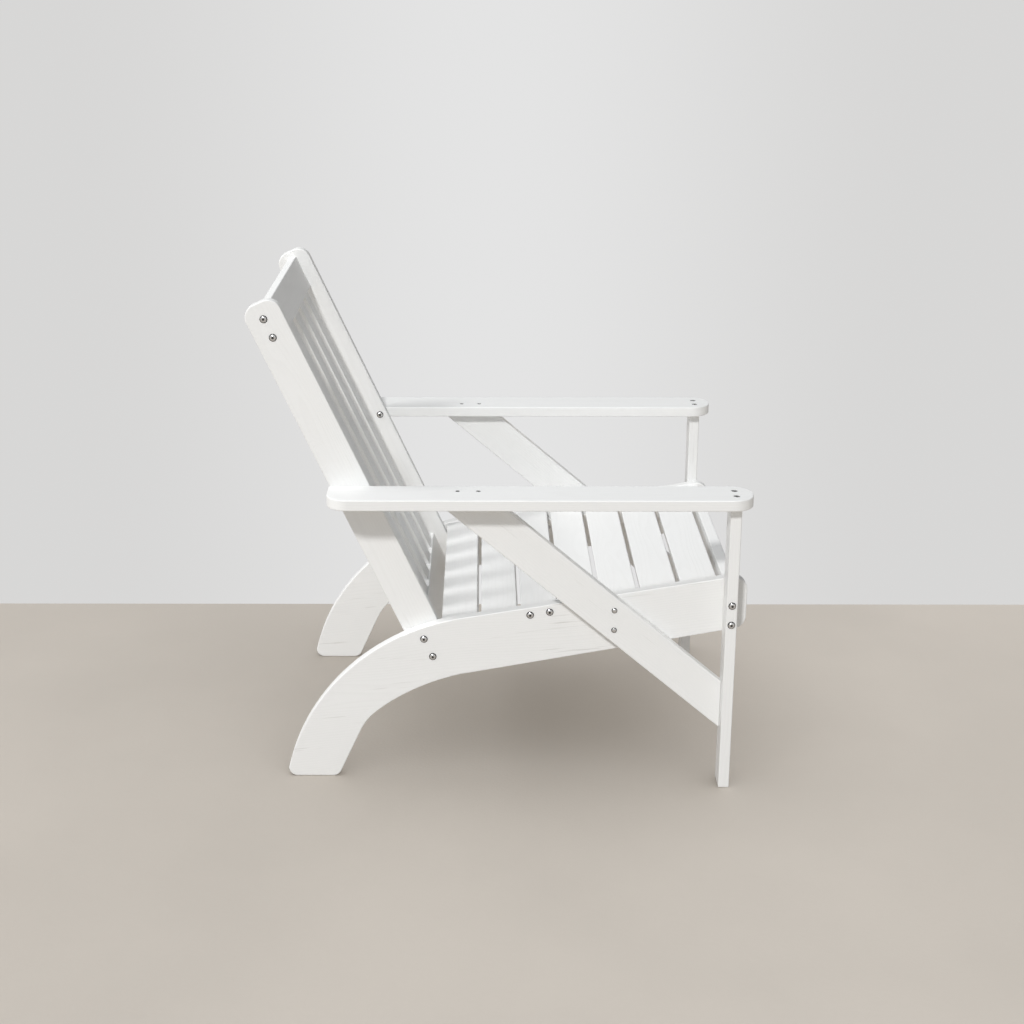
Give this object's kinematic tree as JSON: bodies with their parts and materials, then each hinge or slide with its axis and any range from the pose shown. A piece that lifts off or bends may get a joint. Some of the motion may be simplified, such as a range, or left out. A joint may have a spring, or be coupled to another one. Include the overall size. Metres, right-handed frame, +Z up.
{
  "type": "adirondack chair",
  "caption": "Low slatted garden armchair of white-painted boards: leaning slatted back, sloping seat, flat wide armrests on posts and diagonal braces, curved rear legs.",
  "frame": {"origin": "on the floor, at the middle of the chair's box", "axes": "+X is the way the sitter faces, +Y the sitter's left, +Z up"},
  "size_m": [0.8918, 0.695, 0.9026],
  "materials": {
    "painted_wood": "white satin paint",
    "stainless": "satin",
    "zinc": "zinc plated",
    "brass": "plain"
  },
  "bodies": {
    "root": {"apron_barrel_nuts": "zinc", "arm_back_bolts": "stainless", "arm_back_inserts": "brass", "arm_brace_screws": "stainless", "arm_post_screws": "stainless", "armrest_left": "painted_wood", "armrest_right": "painted_wood", "back_bottom_rail": "painted_wood", "back_header": "painted_wood", "back_post_left": "painted_wood", "back_post_right": "painted_wood", "back_rail_barrel_nuts": "zinc", "back_rail_bolts": "stainless", "back_slat_1": "painted_wood", "back_slat_2": "painted_wood", "back_slat_3": "painted_wood", "back_slat_4": "painted_wood", "back_slat_5": "painted_wood", "brace_bolts": "stainless", "brace_inserts": "brass", "brace_left": "painted_wood", "brace_right": "painted_wood", "cleat_rail_screws": "zinc", "cleat_slat_screws": "zinc", "front_apron": "painted_wood", "front_post_bolts": "stainless", "front_post_left": "painted_wood", "front_post_right": "painted_wood", "header_barrel_nuts": "zinc", "header_bolts": "stainless", "seat_barrel_nuts": "zinc", "seat_bolts": "stainless", "seat_cleat_left": "painted_wood", "seat_cleat_right": "painted_wood", "seat_slat_1": "painted_wood", "seat_slat_2": "painted_wood", "seat_slat_3": "painted_wood", "seat_slat_4": "painted_wood", "seat_slat_5": "painted_wood", "seat_slat_6": "painted_wood", "seat_slat_7": "painted_wood", "side_rail_left": "painted_wood", "side_rail_right": "painted_wood"}
  },
  "joints": []
}
